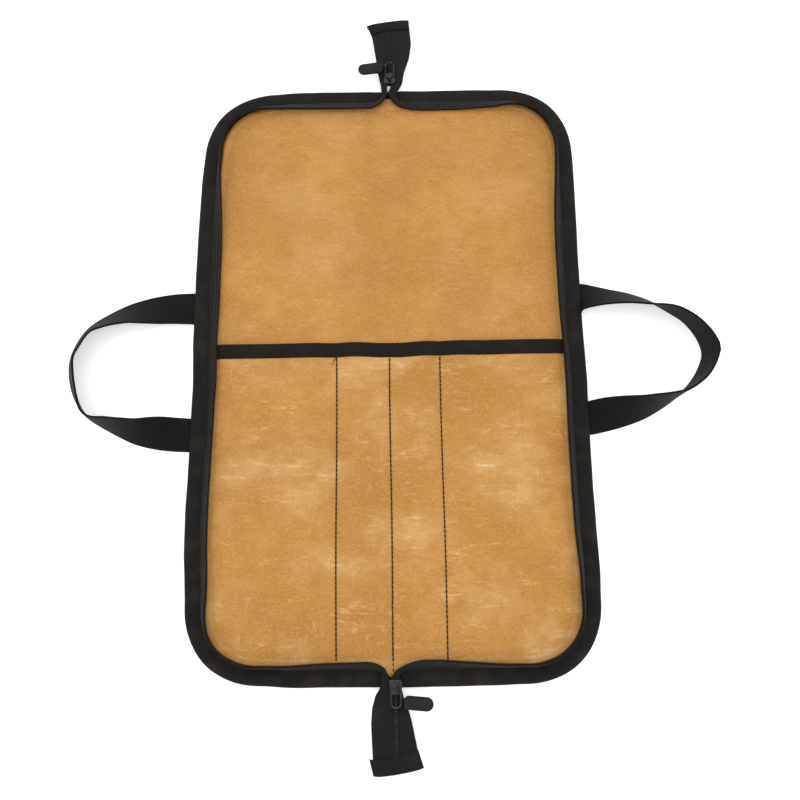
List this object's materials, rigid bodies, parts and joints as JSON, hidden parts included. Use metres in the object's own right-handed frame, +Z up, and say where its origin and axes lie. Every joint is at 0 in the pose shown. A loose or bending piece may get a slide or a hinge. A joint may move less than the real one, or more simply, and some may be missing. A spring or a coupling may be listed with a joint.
{
  "type": "carving tool roll",
  "caption": "Zip-around carving tool case of waxed canvas, opened flat like a book, with stitched tool slots and two webbing handles.",
  "frame": {"origin": "centre of the spine on the case's underside", "axes": "+X to the right half, +Y to the end without pockets, +Z up out of the open case"},
  "size_m": [0.4815, 0.589, 0.025],
  "materials": {
    "waxed_canvas": "waxed cotton canvas, tan, with pale creases",
    "foam": "closed-cell foam sheet",
    "binding_tape": "ribbed grosgrain tape, black",
    "zip_tape": "woven zip tape, black",
    "zip_coil": "nylon coil, dark grey",
    "thread": "black sewing thread",
    "webbing": "woven webbing, black",
    "gunmetal": "satin gunmetal",
    "pull_grip": "matt moulded grip, black"
  },
  "bodies": {
    "root": {"spine_cover": "waxed_canvas", "spine_lining": "waxed_canvas", "spine_pocket_panel": "waxed_canvas", "spine_pocket_binding": "binding_tape", "centre_stitch": "thread", "top_end_binding": "binding_tape", "bottom_end_binding": "binding_tape", "top_tape_roots": "zip_tape", "bottom_tape_roots": "zip_tape"},
    "left_half": {"left_cover": "waxed_canvas", "left_foam": "foam", "left_lining": "waxed_canvas", "left_binding": "binding_tape", "left_zip_tape": "zip_tape", "left_zip_coil": "zip_coil", "left_pocket_panel": "waxed_canvas", "left_pocket_binding": "binding_tape", "left_pocket_stitch": "thread", "left_handle_ends": "webbing"},
    "left_handle": {"left_handle_loop": "webbing"},
    "right_half": {"right_cover": "waxed_canvas", "right_foam": "foam", "right_lining": "waxed_canvas", "right_binding": "binding_tape", "right_zip_tape": "zip_tape", "right_zip_coil": "zip_coil", "right_pocket_panel": "waxed_canvas", "right_pocket_binding": "binding_tape", "right_pocket_stitch": "thread", "right_handle_ends": "webbing"},
    "right_handle": {"right_handle_loop": "webbing"},
    "top_tail": {"top_tail_left_tape": "zip_tape", "top_tail_right_tape": "zip_tape", "top_tail_left_coil": "zip_coil", "top_tail_right_coil": "zip_coil", "top_end_tab": "binding_tape"},
    "top_slider_body": {"top_slider": "gunmetal", "top_slider_bail": "gunmetal"},
    "top_link": {"top_pull_link": "gunmetal"},
    "top_pull": {"top_pull_tab": "pull_grip"},
    "bottom_tail": {"bottom_tail_left_tape": "zip_tape", "bottom_tail_right_tape": "zip_tape", "bottom_tail_left_coil": "zip_coil", "bottom_tail_right_coil": "zip_coil", "bottom_end_tab": "binding_tape"},
    "bottom_slider_body": {"bottom_slider": "gunmetal", "bottom_slider_bail": "gunmetal"},
    "bottom_link": {"bottom_pull_link": "gunmetal"},
    "bottom_pull": {"bottom_pull_tab": "pull_grip"}
  },
  "joints": [
    {"name": "left_fold", "type": "hinge", "parent": "root", "child": "left_half", "pos_m": [-0.01, 0, 0.003], "axis": [0, 1, 0], "range_deg": [0, 90]},
    {"name": "right_fold", "type": "hinge", "parent": "root", "child": "right_half", "pos_m": [0.01, 0, 0.003], "axis": [0, -1, 0], "range_deg": [0, 90]},
    {"name": "left_handle_swing", "type": "hinge", "parent": "left_half", "child": "left_handle", "pos_m": [-0.1495, 0, 0.0008], "axis": [0, -1, 0], "range_deg": [-90, 90]},
    {"name": "right_handle_swing", "type": "hinge", "parent": "right_half", "child": "right_handle", "pos_m": [0.1495, 0, 0.0008], "axis": [0, 1, 0], "range_deg": [-90, 90]},
    {"name": "top_tail_lift", "type": "hinge", "parent": "root", "child": "top_tail", "pos_m": [0.003, 0.226, 0.0064], "axis": [-1, 0, 0], "range_deg": [-90, 0]},
    {"name": "top_slider_slide", "type": "slide", "parent": "top_tail", "child": "top_slider_body", "axis": [0, 1, 0], "range_m": [0, 0.029]},
    {"name": "top_link_flip", "type": "hinge", "parent": "top_slider_body", "child": "top_link", "pos_m": [0.003, 0.2403, 0.0098], "axis": [1, 0, 0], "range_deg": [0, 100]},
    {"name": "top_tab_flip", "type": "hinge", "parent": "top_link", "child": "top_pull", "pos_m": [-0.0003, 0.25, 0.0098], "axis": [0, 1, 0], "range_deg": [0, 115]},
    {"name": "bottom_tail_lift", "type": "hinge", "parent": "root", "child": "bottom_tail", "pos_m": [0.0014, -0.226, 0.0064], "axis": [1, 0, 0], "range_deg": [-90, 0]},
    {"name": "bottom_slider_slide", "type": "slide", "parent": "bottom_tail", "child": "bottom_slider_body", "axis": [0, -1, 0], "range_m": [0, 0.027]},
    {"name": "bottom_link_flip", "type": "hinge", "parent": "bottom_slider_body", "child": "bottom_link", "pos_m": [0.0014, -0.2343, 0.0098], "axis": [-1, 0, 0], "range_deg": [0, 100]},
    {"name": "bottom_tab_flip", "type": "hinge", "parent": "bottom_link", "child": "bottom_pull", "pos_m": [0.0047, -0.244, 0.0098], "axis": [0, -1, 0], "range_deg": [0, 115]}
  ]
}
